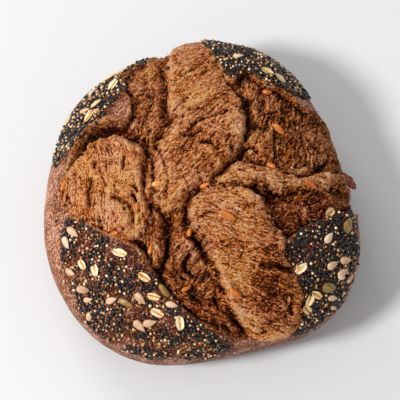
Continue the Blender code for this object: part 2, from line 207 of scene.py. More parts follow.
# Crevices between and across the folds: points, half width, depth.
CREVICES = [
    ([(-95, 31), (-84, 38), (-70, 43), (-58, 41)], 3.0, 6.0),
    ([(-30, 100), (-27, 80), (-26, 60), (-26, 42)], 2.2, 4.0),
    ([(-38, 30), (-40, 12), (-39, -10), (-32, -24)], 2.6, 5.0),
    ([(-61, -14), (-53, -19), (-47, -25), (-45, -35)], 2.0, 3.4),
    ([(-27, -24), (-20, -31), (-22, -46), (-26, -62)], 2.4, 4.0),
    ([(-9, -18), (-9, -36), (-1, -50), (7, -64), (14, -80), (24, -102), (34, -117)], 2.6, 5.0),
    ([(-8, -15), (8, -4), (22, 10), (31, 24), (34, 44)], 2.4, 5.0),
    ([(20, 68), (30, 58), (36, 44)], 2.6, 4.0),
    ([(38, -10), (44, -4), (55, -8), (64, -14)], 3.0, 5.0),
    ([(72, 4), (84, 9), (100, 15), (112, 17)], 2.2, 6.0),
    ([(42, -62), (50, -60), (58, -61)], 2.6, 5.0),
    ([(40, -6), (42, -13), (43, -18)], 3.0, 4.0),
    ([(110, 66), (120, 46), (126, 28)], 9.0, 3.0),
    ([(-26, 42), (-17, 51), (-8, 59)], 1.1, 3.2),
    ([(-8, 32), (0, 38), (10, 41), (19, 46)], 1.0, 2.6),
    ([(-31, 26), (-25, 10), (-22, -8), (-23, -22)], 1.5, 2.2),
    ([(-81, 2), (-82, -10), (-80, -24)], 0.9, 1.8),
    ([(-98, 4), (-99, -8), (-93, -17)], 1.4, 2.6),
    ([(60, -84), (64, -92)], 1.8, 4.5),
    ([(76, 54), (80, 52)], 2.2, 6.0),
    ([(88, 40), (96, 33)], 2.2, 4.5),
    ([(-14, -50), (-17, -62), (-11, -74)], 1.3, 3.5),
    ([(-8, -56), (-10, -66), (-4, -72)], 1.1, 3.5),
    ([(69, -24), (70, -34)], 1.4, 4.0),
]

# Smaller slits, pits and hollows torn in the folds: points, half width, depth.
SLITS = [
    ([(57, 40), (58, 29), (58, 19)], 1.2, 5.0),
    ([(26, 62), (31, 58), (34, 52), (36, 44)], 2.6, 4.5),
    ([(39, 41), (43, 43), (48, 40)], 2.0, 4.0),
    ([(32, 19), (34, 25), (39, 26), (43, 23)], 1.6, 3.5),
    ([(78, 63), (80, 63)], 1.5, 3.0),
    ([(90, 57), (94, 52)], 1.6, 4.0),
    ([(91, 13), (97, 19), (103, 24)], 1.6, 4.0),
    ([(62, 4), (71, 6), (83, 8)], 1.2, 2.5),
    ([(-20, 43), (-12, 43)], 1.0, 2.5),
    ([(-7, 48), (1, 49)], 1.0, 2.2),
    ([(-12, 28), (-5, 29), (1, 31)], 1.0, 2.5),
    ([(1, 23), (7, 21)], 1.6, 3.0),
    ([(22, 22), (23, 19)], 1.2, 3.0),
    ([(-77, 14), (-77, 10)], 1.0, 3.0),
    ([(-79, 0), (-81, -9), (-79, -20)], 0.9, 2.5),
    ([(-47, -8), (-44, -11)], 1.2, 3.5),
    ([(-47, -13), (-44, -18)], 1.3, 4.0),
    ([(-55, 15), (-56, 6)], 1.0, 2.2),
    ([(53, -60), (54, -61)], 1.3, 3.0),
    ([(61, -79), (63, -86)], 1.2, 3.5),
    ([(60, -94), (61, -96)], 1.0, 2.5),
    ([(35, -112), (43, -114), (49, -110)], 1.3, 2.5),
    ([(-7, -56), (-11, -62), (-9, -69), (-3, -74)], 1.6, 3.5),
    ([(-3, -78), (-6, -84), (-1, -90)], 1.4, 3.0),
]

# Lengths of torn edge that curl up: points, lift, overhang, reach into the flap.
LIPS = [
    ([(-102, 10), (-100, 28), (-93, 36), (-81, 43), (-69, 49), (-57, 48), (-50, 57)], 4.5, 2.0, 6.0),
    ([(-56, 92), (-50, 104), (-38, 122)], 2.5, 1.0, 6.0),
    ([(19, 69), (10, 95), (2, 116), (2, 150)], 3.5, 0.5, 16.0),
    ([(43, 75), (60, 74), (80, 68), (106, 66)], 2.0, 1.0, 6.0),
    ([(-41, -48), (-34, -59), (-21, -80), (-4, -101), (21, -117)], 1.5, 0.5, 5.0),
]
LIP_ROOT = 2
LIP_END = 2.5

# What makes it uneven: height, breadth. Strands, sheets and fibres run with the stretch and are
# so many times longer than broad. Clods and shreds lie on the ragged folds.
STRANDS = (2.2, 7.5)
STRAND_LENGTH = 4.5
SWELLS = (1.4, 20)
CLODS = (2.4, 9)
SHREDS = (1.6, 6)
CRUST_SWELLS = (0.8, 34)
FIBRES = (0.7, 3.4)
FIBRE_LENGTH = 2.4
SHEETS = (1.9, 10)
SHEET_LENGTH = 3.0
SHEET_LAYERS = 2.3
GRIT = (0.42, 2.2)
SKIN_GRAIN = (0.10, 3.0)
RIM = (1.2, 5.0)
RIM_REACH = 6
CRUMB_FROM = (-2.4, -0.4)
SLIT_SHARPER = (1.1, 1.45)
PORE_SPACING = 6.5
PORE_DEPTH = (0.9, 3.0)
PORE_WALL = (0.34, 0.10)
PORE_PATCH = 18
TATTERS = (0.8, 3.2)
FOLD_TATTER = 2.6
SHOULDER_SHARE = 0.8
SHOULDER_VARIES = (0.45, 15)
CREASE_SPACING = 11
CREASE_DEPTH = 2.0
CREASE_WIDTH = 0.10
CREASE_PATCH = 16

# How far the fine forms wander from the stretch, and the breadth of a bend.
BEND = 11
FIBRE_BEND = 1.6
SHEET_BEND = 2.2
CREASE_BEND = 1.5

# Their share on smooth dough, and what raggedness adds.
SHEET_SHARE = (0.45, 0.8)
FIBRE_SHARE = (0.55, 1.1)
CREASE_SHARE = (0.6, 0.5)


def hashed(cell, seed):
    """A number for each cell, as good as random and the same every time."""
    h = (cell @ np.array([374761393, 668265263, 2147483647]) + seed * 974634777) & 0xFFFFFFFF
    h = ((h ^ (h >> 13)) * 1274126177) & 0xFFFFFFFF
    return (h ^ (h >> 16)) & 0xFFFFFFFF


def waves(points, size, octaves, seed):
    """Smooth irregular waves, about -1 to 1, with the broadest about this size."""
    total, strength = np.zeros(len(points)), 1.0
    for octave in range(octaves):
        p = points / size + 17.3 * octave
        cell = np.floor(p).astype(np.int64)
        f = p - cell
        ease = f * f * f * (f * (f * 6 - 15) + 10)
        for corner in np.ndindex(2, 2, 2):
            h = hashed(cell + corner, seed + octave)
            slope = np.stack([h & 1023, (h >> 10) & 1023, (h >> 20) & 1023], 1) / 511.5 - 1
            share = np.where(corner, ease, 1 - ease).prod(1)
            total += 1.3 * strength * share * ((f - corner) * slope).sum(1)
        size, strength = size / 2, strength / 2
    return total


def pores(points, size, seed):
    """Distance to the nearest of one random centre to each cell of this size, in cells."""
    p = points / size
    cell = np.floor(p).astype(np.int64)
    nearest = np.full(len(p), 9.0)
    for corner in np.ndindex(3, 3, 3):
        near = cell + corner - 1
        h = hashed(near, seed)
        centre = near + np.stack([h & 1023, (h >> 10) & 1023, (h >> 20) & 1023], 1) / 1023
        nearest = np.minimum(nearest, ((p - centre) ** 2).sum(1))
    return np.sqrt(nearest)


def eased(low, high, x):
    """0 at low, 1 at high, eased between and level beyond."""
    t = np.clip((x - low) / (high - low), 0, 1)
    return t * t * (3 - 2 * t)


def in_limb(uv, spine):
    """How far inside a limb with this spine of u, v, half width; below zero outside it."""
    depth = np.full(len(uv), -1e9)
    for start, end in zip(np.array(spine, float), np.array(spine[1:], float)):
        leg = end[:2] - start[:2]
        t = np.clip((uv - start[:2]) @ leg / (leg @ leg), 0, 1)
        gap = np.hypot(*(start[:2] + t[:, None] * leg - uv).T)
        depth = np.maximum(depth, start[2] + t * (end[2] - start[2]) - gap)
    return depth


def surface(uv):
    """The baked surface: its points, its marks, and the place along and across the stretch."""
    points = plain(uv)
    drift = EDGE_DRIFT[0] * np.stack([waves(points, EDGE_DRIFT[1], 2, seed) for seed in (11, 23)], 1)
    fray = np.stack([waves(points, EDGE_FRAY[1], 1, seed) for seed in (12, 24)], 1)
    tatters = TATTERS[0] * np.stack([waves(points, TATTERS[1], 2, seed) for seed in (13, 25)], 1)
    inside, way = inside_tear(uv + drift + EDGE_FRAY[0] * fray + tatters)
    dough = np.full(len(uv), float(TORN_FLOOR))
    stretch, ragged, toast = np.zeros(len(uv)), np.ones(len(uv)), np.ones(len(uv))
    blunt = SHOULDER_SHARE + SHOULDER_VARIES[0] * waves(points, SHOULDER_VARIES[1], 2, 35)
    for spine, top, drop, shoulder, turn, raggedness, dark in FOLDS.values():
        depth = in_limb(uv + drift + FOLD_FRAY * fray + FOLD_TATTER * tatters, spine)
        height = top - drop * (1 - np.clip(depth / (shoulder * blunt), 0, 1)) ** 2
        height += FOLD_FLANK * np.minimum(depth, 0)
        over = height > dough
        dough[over] = height[over]
        stretch[over], ragged[over], toast[over] = radians(turn), raggedness, dark
    slits = [(line, half * SLIT_SHARPER[0], deep * SLIT_SHARPER[1]) for line, half, deep in SLITS]
    for line, half_width, deep in CREVICES + slits:
        line = curved(line, False)
        reach = 3 * half_width + 4
        near = ((uv > line.min(0) - reach) & (uv < line.max(0) + reach)).all(1)
        gap = to_line((uv + drift + tatters)[near], line)[0]
        dough[near] -= deep * np.exp(-((gap / half_width) ** 2))
    along = uv[:, 0] * np.cos(stretch) + uv[:, 1] * np.sin(stretch)
    across = uv[:, 1] * np.cos(stretch) - uv[:, 0] * np.sin(stretch)
    strands = np.stack([along / STRAND_LENGTH, across, 0 * along], 1)
    dough += (1 - ragged) * STRANDS[0] * waves(strands, STRANDS[1], 1, 31)
    dough += (1 - ragged) * SWELLS[0] * waves(points, SWELLS[1], 1, 32)
    dough += ragged * CLODS[0] * waves(points, CLODS[1], 1, 33)
    dough += ragged * SHREDS[0] * waves(strands, SHREDS[1], 1, 34)
    crust = CRUST_SWELLS[0] * waves(points, CRUST_SWELLS[1], 2, 5)
    # What follows is too fine for the solid, and stays close to it.
    bend = np.stack([waves(points, BEND, 2, seed) for seed in (61, 62, 63)], 1)
    fibres = np.stack([along / FIBRE_LENGTH, across, 0 * along], 1) + FIBRE_BEND * bend
    sheets = np.stack([along / SHEET_LENGTH, across, 0 * along], 1) + SHEET_BEND * bend
    layer = SHEET_LAYERS * waves(sheets, SHEETS[1], 3, 44)
    sheet_strength = SHEETS[0] * (SHEET_SHARE[0] + SHEET_SHARE[1] * ragged)
    dough += (layer - np.floor(layer) - 0.5) * sheet_strength
    fibre_strength = FIBRES[0] * (FIBRE_SHARE[0] + FIBRE_SHARE[1] * ragged)
    dough += (0.5 - np.abs(waves(fibres, FIBRES[1], 2, 41))) * fibre_strength
    dough += GRIT[0] * waves(points, GRIT[1], 1, 43) * (1 + ragged)
    creased = eased(CREASE_WIDTH, 0, np.abs(waves(strands + CREASE_BEND * bend, CREASE_SPACING, 1, 45)))
    creased *= eased(-0.1, 0.35, waves(points, CREASE_PATCH, 1, 46))
    dough -= CREASE_DEPTH * creased * (CREASE_SHARE[0] + CREASE_SHARE[1] * ragged)
    holes = eased(*PORE_WALL, pores(fibres, PORE_SPACING, 7))
    holes *= eased(-0.2, 0.5, waves(points, PORE_PATCH, 1, 47) + ragged)
    dough -= holes * (PORE_DEPTH[0] + (PORE_DEPTH[1] - PORE_DEPTH[0]) * ragged)
    crust += SKIN_GRAIN[0] * waves(points, SKIN_GRAIN[1], 2, 51)
    rim = np.exp(np.minimum(inside, 0) / RIM_REACH)
    crust += rim * RIM[0] * waves(points, RIM[1], 2, 53)
    overhang = np.zeros((len(uv), 2))
    way /= np.maximum(np.hypot(*way.T), 1e-6)[:, None]
    for line, lift, over, reach in LIPS:
        near = np.exp(np.minimum(inside, 0) / reach) * (inside < LIP_ROOT)
        near *= eased(LIP_END * reach, 0, to_line(uv + drift, curved(line, False))[0])
        crust += lift * near
        overhang += np.where(inside[:, None] < 0, way, 0) * (over * near)[:, None]
    torn = eased(-TORN_WALL, TORN_WALL, inside)
    fade = eased(TO_FOOT, TO_FOOT - FOOT_FADE, np.hypot(*uv.T))
    height = (crust * (1 - torn) + dough * torn) * fade
    overhang *= fade[:, None]
    step_u, step_v, out = crust_frame(uv)
    points = points + out * height[:, None] + step_u * overhang[:, :1] + step_v * overhang[:, 1:]
    points[:, :2] -= MIDDLE
    for (u, v, reach), dark in TOASTED:
        toast += dark * np.exp(-(((uv - (u, v)) ** 2).sum(1)) / reach**2)
    marks = {
        "height": height, "rim": rim, "torn": eased(*CRUMB_FROM, inside), "ragged": ragged * torn,
        "toast": toast, "turn": stretch,
    }
    return points, marks, np.stack([along, across, height], 1)


# The body: crust and crumb are one unbroken skin, as they baked, fine enough for the torn fibres.
# It takes the place of the plain solid loaf, and carries the marks that its finish needs.

WIDEST_ROW = 0.68
FOOT_ROW = 0.89
FINE_FROM = -0.5
FINE_REACH = 126
RIDGE_HEIGHT = 0.9
HOLLOW_DEPTH = 5
SEEDBED_EDGE = (-6, 4)

# Where seed was pressed onto the flaps before baking, as spines of u, v, half width.
SEEDED = {
    "left front": [
        (-88, -38, 14), (-78, -62, 24), (-56, -82, 36), (-28, -105, 30), (5, -128, 16), (25, -138, 6),
    ],
    "right front": [(106, -24, 16), (84, -44, 36), (82, -72, 27), (76, -98, 16)],
    "right back": [(4, 128, 20), (34, 106, 36), (66, 104, 28)],
    "left back": [(-114, 32, 8), (-98, 50, 20), (-84, 74, 26), (-66, 94, 20), (-50, 112, 10)],
}


def place_of(ways):
    """The place on the crust for each way out from the middle of a ball."""
    ways = np.array(ways) / np.linalg.norm(ways, axis=1, keepdims=True)
    down = np.arccos(np.clip(ways[:, 2], -1, 1)) / pi
    run = np.interp(down, [0, WIDEST_ROW, FOOT_ROW, 1], [0, TO_WIDEST, TO_FOOT, TO_CENTRE])
    azimuth = np.arctan2(ways[:, 1], ways[:, 0])
    return np.stack([run * np.cos(azimuth), run * np.sin(azimuth)], 1)


def within_box(points):
    """The points, kept inside the box of the solid loaf."""
    low, high = np.array(cad_box) / MM
    return np.clip(points, low + (0.02, 0.02, 0), high - 0.02)


ball = bmesh.new()
bmesh.ops.create_icosphere(ball, subdivisions=7, radius=1)
corner_places = place_of([corner.co for corner in ball.verts])
rough = (inside_tear(corner_places)[0] > FINE_FROM) & (np.hypot(*corner_places.T) < FINE_REACH)
fine = [edge for edge in ball.edges if all(rough[corner.index] for corner in edge.verts)]
bmesh.ops.subdivide_edges(ball, edges=fine, cuts=1, use_grid_fill=True)
bmesh.ops.triangulate(ball, faces=ball.faces)
skin = bpy.data.meshes.new("body")
ball.to_mesh(skin)
ball.free()
ways = np.empty(3 * len(skin.vertices))
skin.vertices.foreach_get("co", ways)
places = place_of(ways.reshape(-1, 3))
points, marked, stretched = surface(places)
height = marked["height"]
skin.vertices.foreach_set("co", (within_box(points) * MM).ravel())
skin.update()

edges = np.empty(2 * len(skin.edges), np.int32)
skin.edges.foreach_get("vertices", edges)
edges = edges.reshape(-1, 2)
ends = np.concatenate([edges, edges[:, ::-1]])
neighbours = np.bincount(ends[:, 0], minlength=len(height))


def spread(values, rounds):
    """The values evened out between neighbours."""
    for _ in range(rounds):
        values = np.bincount(ends[:, 0], weights=values[ends[:, 1]], minlength=len(values)) / neighbours
    return values


# Relief against its neighbourhood: the finish lightens the crumb on ridges as painted light, and darkens
# it in crevices and hollows, partly as painted shade.
raised = np.clip((height - spread(height, 6)) / RIDGE_HEIGHT, -1, 1)
sunk = np.clip((spread(height, 60) - spread(height, 3)) / HOLLOW_DEPTH, -1, 1)
seedbed = np.zeros(len(places))
for spine in SEEDED.values():
    seedbed = np.maximum(seedbed, eased(*SEEDBED_EDGE, in_limb(places, spine)))
finish_marks = {
    "torn": marked["torn"], "rim": marked["rim"], "toast": spread(marked["toast"], 8),
    "raised": raised, "sunk": sunk, "seedbed": seedbed,
}
for name, values in finish_marks.items():
    skin.attributes.new(name, "FLOAT", "POINT").data.foreach_set("value", values.astype(np.float32))
stretched_mark = skin.attributes.new("stretched", "FLOAT_VECTOR", "POINT")
stretched_mark.data.foreach_set("vector", stretched.astype(np.float32).ravel())
skin.shade_smooth()
body = bpy.data.objects.new("body", skin)
bpy.context.collection.objects.link(body)
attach(body, "root")
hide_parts("loaf")


# The finish of the body: a floury red-brown crust, with painted shade and a painted bluish sheen
# where it turns in to the foot, and torn crumb that baked gold and red-brown, darker in its crevices
# and hollows (partly its own deeper colour, partly painted shade) and lighter on its ridges as painted
# light. Both are one material, told apart by the mark of the tear.


class Shade:
    """One value in a material. Sums and products of these add the maths they stand for."""

    def __init__(self, socket):
        self.socket = socket
        self.tree = socket.id_data

    def node(self, kind, settings=None, values=None, out=0):
        """Any node: its settings first, then the values or links of its sockets."""
        made = self.tree.nodes.new("ShaderNode" + kind)
        for name, value in (settings or {}).items():
            if name == "stops":
                ramp = made.color_ramp.elements
                while len(ramp) < len(value):
                    ramp.new(0.5)
                for stop, (at, colour) in zip(ramp, value):
                    stop.position, stop.color = at, (*colour, 1)
            else:
                setattr(made, name, value)
        for name, value in (values or {}).items():
            self.feed(made.inputs[name], value)
        return Shade(made.outputs[out])

    def feed(self, socket, value):
        """Sets a socket, or links a value to it."""
        if isinstance(value, Shade):
            self.tree.links.new(value.socket, socket)
        elif socket.type == "RGBA":
            socket.default_value = (*value, 1)
        else:
            socket.default_value = value

    def maths(self, operation, first, second, clamp=False):
        return self.node("Math", {"operation": operation, "use_clamp": clamp}, {0: first, 1: second})

    def __add__(self, other):
        return self.maths("ADD", self, other)

    def __radd__(self, other):
        return self.maths("ADD", other, self)

    def __sub__(self, other):
        return self.maths("SUBTRACT", self, other)

    def __rsub__(self, other):
        return self.maths("SUBTRACT", other, self)

    def __mul__(self, other):
        return self.maths("MULTIPLY", self, other)

    def __rmul__(self, other):
        return self.maths("MULTIPLY", other, self)

    def held(self):
        """Held between 0 and 1."""
        return self.maths("ADD", self, 0, clamp=True)

    def between(self, low, high):
        """0 below low, 1 above high, eased between."""
        limits = {"Value": self, "From Min": low, "From Max": high}
        return self.node("MapRange", {"interpolation_type": "SMOOTHSTEP"}, limits)

    def blend(self, first, second):
        """From the first colour to the second as this goes from 0 to 1."""
        return self.node("Mix", {"data_type": "RGBA"}, {0: self, 6: first, 7: second}, out=2)

    def scaled(self, *sizes):
        """This place, stretched by a size each way."""
        return self.node("VectorMath", {"operation": "MULTIPLY"}, {0: self, 1: sizes})

    def noise(self, size, detail=2, roughness=0.5, distortion=0):
        """Noise over this place, with the broadest about this size."""
        values = {"Vector": self, "Scale": 1 / size, "Detail": detail, "Roughness": roughness}
        return self.node("TexNoise", {"noise_dimensions": "3D"}, values | {"Distortion": distortion})

    def ramp(self, *stops):
        """The colour that this stands for, between stops from 0 to 1."""
        return self.node("ValToRGB", {"stops": stops}, {0: self})


def colour(red, green, blue):
    """A colour as it is seen, 0 to 255, as the light it gives back."""
    return tuple(((c / 255 + 0.055) / 1.055) ** 2.4 if c > 10 else c / 3294.6 for c in (red, green, blue))


def new_material(name):
    """A material, its shader, and a first value to make the others from."""
    material = bpy.data.materials.new(name)
    material.use_nodes = True
    shader = material.node_tree.nodes["Principled BSDF"]
    return material, shader, Shade(shader.outputs[0])


def mark(start, name, out="Fac"):
    """A mark that the mesh carries."""
    return start.node("Attribute", {"attribute_name": name}, out=out)


baked, shader, start = new_material("baked dough")
at = start.node("TexCoord", out="Object").scaled(1000, 1000, 1000)
is_torn, is_raised, hollow_shade = mark(start, "torn"), mark(start, "raised"), mark(start, "sunk")
is_seedbed, is_toast, is_rim = mark(start, "seedbed"), mark(start, "toast"), mark(start, "rim")
fibre_place = mark(start, "stretched", "Vector").scaled(0.3, 1, 0.9)

# Crumb: fine mottling of fibres and bran on a broad drift of baking, greyer and rosier in patches. It
# turns darker red-brown in crevices and hollows, partly its own colour and partly painted shade, and
# a little lighter on ridges as painted light.
fibres = fibre_place.noise(1.25, 3, 0.8, 0.5)
flecks = at.noise(1.1, 3, 0.85)
tinge = fibre_place.noise(1.4, 2, 0.75)
patches = at.noise(16, 3, 0.6)
tone = 0.66 + (fibres - 0.5) * 4.6 + (flecks - 0.5) * 4.4 + (patches - 0.5) * 1.8
# Painted shade in crevices and hollows (partly the crumb's own deeper colour), and a little painted light
# on ridges.
crease_shade = (0 - is_raised).held()
tone = (tone + is_raised.held() * 0.06 - crease_shade * 0.6 - hollow_shade * 0.62 - is_toast * 0.6).held()
golden = tone.ramp(
    (0.0, colour(58, 18, 2)),
    (0.2, colour(142, 56, 6)),
    (0.45, colour(226, 114, 24)),
    (0.75, colour(255, 152, 60)),
    (1.0, colour(255, 204, 142)),
)
rosy = tone.ramp(
    (0.0, colour(50, 14, 6)),
    (0.2, colour(130, 48, 16)),
    (0.45, colour(214, 102, 40)),
    (0.75, colour(252, 146, 78)),
    (1.0, colour(255, 206, 168)),
)
rosier = (0.36 + (at.noise(22, 3, 0.6) - 0.5) * 3.4 + (tinge - 0.5) * 3.0).held()
crumb = rosier.blend(golden, rosy)
# Painted highlights: pale glints painted into the crumb's colour on its lighter parts.
glints = fibre_place.noise(0.9, 2, 0.8, 0.8).between(0.63, 0.72) * tone.between(0.2, 0.5)
crumb = (glints * 0.85).blend(crumb, colour(255, 220, 172))
bran = at.noise(2.4, 1, 0.5).between(0.7, 0.75)
crumb = (bran * 0.85).blend(crumb, colour(232, 124, 32))

# Crust: a floury film over a red-brown skin, darker where the seed was pressed on. Towards the foot
# it is darkened and turned bluish mauve as painted shade and a painted sheen.
film = at.noise(1.5, 3, 0.85)
cloud = at.noise(14, 4, 0.6)
lie = at.node("SeparateXYZ", None, {"Vector": at}, out=2)
# Painted shade and a painted bluish sheen low on the crust: full up to 8 mm, gone by 60 mm.
underside_shade = 1 - lie.between(8, 60)
floury = 0.56 + (film - 0.5) * 4.4 + (cloud - 0.5) * 1.6 - is_seedbed * 0.4 - is_rim * 0.3
floury = (floury - underside_shade * 0.3).held()
browned = floury.ramp(
    (0.0, colour(62, 25, 12)),
    (0.35, colour(128, 66, 36)),
    (0.6, colour(178, 110, 72)),
    (1.0, colour(238, 180, 136)),
)
mauve = floury.ramp(
    (0.0, colour(50, 26, 24)),
    (0.35, colour(104, 62, 56)),
    (0.6, colour(154, 102, 92)),
    (1.0, colour(218, 170, 154)),
)
# Mauve in random clouds, and towards the foot as painted shade and a painted bluish sheen.
crust = (0.3 + (cloud - 0.5) * 2.0 + underside_shade * 0.4).held().blend(browned, mauve)
specks = at.noise(1.9, 1, 0.5).between(0.66, 0.72) * (1 - underside_shade)
crust = (specks * 0.6).blend(crust, colour(226, 164, 96))
surface_colour = is_torn.blend(crust, crumb)
start.feed(shader.inputs["Base Color"], surface_colour)
start.feed(shader.inputs["Roughness"], 0.5 - is_torn * 0.1)
relief = is_torn * ((fibres - 0.5) * 2.2 + (flecks - 0.5) * 1.8) + (1 - is_torn) * (film - 0.5) * 0.8
bump = start.node("Bump", None, {"Strength": 1.0, "Distance": 0.0011, "Height": relief})
start.feed(shader.inputs["Normal"], bump)
shader.inputs["Specular IOR Level"].default_value = 0.1
skin.materials.append(baked)


# Sunflower kernels: hulled, flattened and toasted, pointed at one end, pressed onto the flaps before
# baking so that they lie on the finer seed. Like every kind of seed here they are one mesh: a small
# shape, made about its middle with its tip towards +x, laid many times.

SUNFLOWERS = [
    (-90, -36, -46), (-95, -43, -64), (-91, -63, -19), (-81, -75, -11), (-59, -82, 19), (-39, -82, -50),
    (-19, -88, -27), (-41, -100, -56), (-34, -99, 5), (86, -39, 52), (100, -52, 8), (88, -56, 28),
    (98, -60, 34), (93, -78, 4), (107, -63, 49), (-86, 63, 2), (-82, 84, 48), (-61, 102, 30),
    (-104, 65, 56), (26, 95, 2),
]
SMALL_SUNFLOWERS = [(-78, -82, 3), (-79, -93, 64), (97, -63, -2), (98, -86, -5), (-76, 58, 17)]

# How far to each side a seed rests on the surface, how upright the plain loaf keeps it, and how far
# its mottling lies from the next seed's.
SEAT_REACH = 0.9
UPRIGHT = 0.8
OWN_CUT = 40


def plump(length, width, thickness, blunt, around, along, tip=0.5):
    """A plump seed: rings of points from tail to tip, with the blunt end fuller than the tip."""
    rings = []
    for n in range(1, along):
        x = -cos(pi * n / along)
        swell = (1 - x * x) ** (tip if x > 0 else 0.5) * (1 - blunt * x)
        for m in range(around):
            a = 2 * pi * m / around
            rings.append((length * x, width * swell * cos(a), thickness * swell * sin(a)))
    tail, top = len(rings), len(rings) + 1
    faces = [(tail, (m + 1) % around, m) for m in range(around)]
    for n in range(along - 2):
        for m in range(around):
            a, b = n * around + m, n * around + (m + 1) % around
            faces.append((a, b, b + around, a + around))
    last = (along - 2) * around
    faces += [(last + m, last + (m + 1) % around, top) for m in range(around)]
    return np.array([*rings, (-length, 0, 0), (length, 0, 0)]), faces


def seats(uv):
    """Where each place is on the baked surface, and the way out of it there."""
    here = surface(uv)[0]
    along = surface(uv + (SEAT_REACH, 0))[0] - surface(uv - (SEAT_REACH, 0))[0]
    across = surface(uv + (0, SEAT_REACH))[0] - surface(uv - (0, SEAT_REACH))[0]
    out = np.cross(along, across)
    out /= np.linalg.norm(out, axis=1, keepdims=True)
    out = out + UPRIGHT * crust_frame(uv)[2]
    return here, out / np.linalg.norm(out, axis=1, keepdims=True), along


def lay(name, shape, places, material, sink, tilt, sizes=(0.88, 1.12), heap=0.35, seed=1):
    """One mesh of this shape laid at each u, v, turn, sunk by a share of its thickness."""
    chance = np.random.default_rng(seed)
    corners, faces = shape
    place = np.array([p[:2] for p in places], float)
    turn = np.radians([p[2] for p in places])
    seat, out, along = seats(place)
    along -= out * (along * out).sum(1, keepdims=True)
    along /= np.linalg.norm(along, axis=1, keepdims=True)
    side = np.cross(out, along)
    heading = along * np.cos(turn)[:, None] + side * np.sin(turn)[:, None]
    out = out + np.radians(tilt) * chance.normal(0, 1, (len(place), 3))
    out /= np.linalg.norm(out, axis=1, keepdims=True)
    heading -= out * (heading * out).sum(1, keepdims=True)
    heading /= np.linalg.norm(heading, axis=1, keepdims=True)
    side = np.cross(out, heading)
    size = chance.uniform(*sizes, (len(place), 1, 1))
    thick = corners[:, 2].max()
    lift = thick * (1 - 2 * sink) * size[:, 0] + chance.uniform(0, heap * thick, (len(place), 1))
    shaped = corners[None] * size
    laid = (seat + out * lift)[:, None]
    for axis, way in enumerate((heading, side, out)):
        laid = laid + shaped[..., axis : axis + 1] * way[:, None]
    mesh = bpy.data.meshes.new(name)
    count = len(corners)
    all_faces = [tuple(i + n * count for i in face) for n in range(len(place)) for face in faces]
    mesh.from_pydata((within_box(laid.reshape(-1, 3)) * MM).tolist(), [], all_faces)
    own = np.repeat(chance.uniform(0, 1, len(place)), count)
    mesh.attributes.new("own", "FLOAT", "POINT").data.foreach_set("value", own.astype(np.float32))
    local = np.tile(corners / np.abs(corners).max(0), (len(place), 1))
    local[:, 2] += own * OWN_CUT
    local_mark = mesh.attributes.new("local", "FLOAT_VECTOR", "POINT")
    local_mark.data.foreach_set("vector", local.astype(np.float32).ravel())
    mesh.shade_smooth()
    mesh.materials.append(material)
    piece = bpy.data.objects.new(name, mesh)
    bpy.context.collection.objects.link(piece)
    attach(piece, "root")


kernel, shader, start = new_material("sunflower kernel")
inside = mark(start, "local", "Vector")
streaks = inside.scaled(0.5, 3, 1).noise(0.8, 3, 0.6)
worn = (0.5 + (streaks - 0.5) * 1.8 + (mark(start, "own") - 0.5) * 0.5).held()
start.feed(
    shader.inputs["Base Color"],
    worn.ramp((0.0, colour(146, 94, 60)), (0.45, colour(220, 176, 136)), (1.0, colour(246, 222, 192))),
)
shader.inputs["Roughness"].default_value = 0.5
full = plump(4.7, 2.35, 1.25, blunt=0.38, around=12, along=9, tip=0.85)
lay("sunflower_kernels", full, SUNFLOWERS, kernel, sink=-0.15, tilt=5, seed=3)
small = plump(3.4, 1.9, 1.1, blunt=0.2, around=12, along=9, tip=0.7)
lay("small_sunflower_kernels", small, SMALL_SUNFLOWERS, kernel, sink=-0.15, tilt=5, seed=4)


# Pumpkin kernels: hulled flat ovals whose green skin baked to a satin brown. A few lie among the
# sunflower kernels, pressed on with them, two broad and two narrow.

PUMPKINS = [(106, -28, 61), (87, -71, 4)]
NARROW_PUMPKINS = [(-49, -84, -28), (-24, -78, -64)]

kernel, shader, start = new_material("pumpkin kernel")
inside = mark(start, "local", "Vector")
mottled = (0.5 + (inside.noise(0.7, 3, 0.6) - 0.5) * 1.6).held()
start.feed(
    shader.inputs["Base Color"],
    mottled.ramp((0.0, colour(92, 66, 26)), (0.5, colour(148, 112, 52)), (1.0, colour(206, 172, 104))),
)
shader.inputs["Roughness"].default_value = 0.35
broad = plump(6.6, 3.9, 1.3, blunt=0.2, around=16, along=11, tip=0.6)
lay("pumpkin_kernels", broad, PUMPKINS, kernel, sink=-0.2, tilt=4, seed=5)
narrow = plump(6.0, 2.3, 1.4, blunt=0.2, around=16, along=11, tip=0.6)
lay("narrow_pumpkin_kernels", narrow, NARROW_PUMPKINS, kernel, sink=-0.1, tilt=4, seed=5)


# Oat flakes: whole oats rolled thin and flat, cream, creased down the middle, with uneven edges that
# toasted brown. They stick to the flaps, mostly face up.

OATS = [
    (-53, -53, -18), (-81, -59, -57), (-71, -63, -79), (-36, -68, -36), (-30, -81, -19), (-29, -93, -36),
    (-14, -102, 82), (95, -20, 38), (66, -60, 44), (75, -81, 74), (79, -77, -20), (-76, 65, 38),
    (-81, 55, 61), (-64, 82, 59), (-71, 98, 19), (57, 84, -23), (47, 86, -14), (75, -89, -31),
]


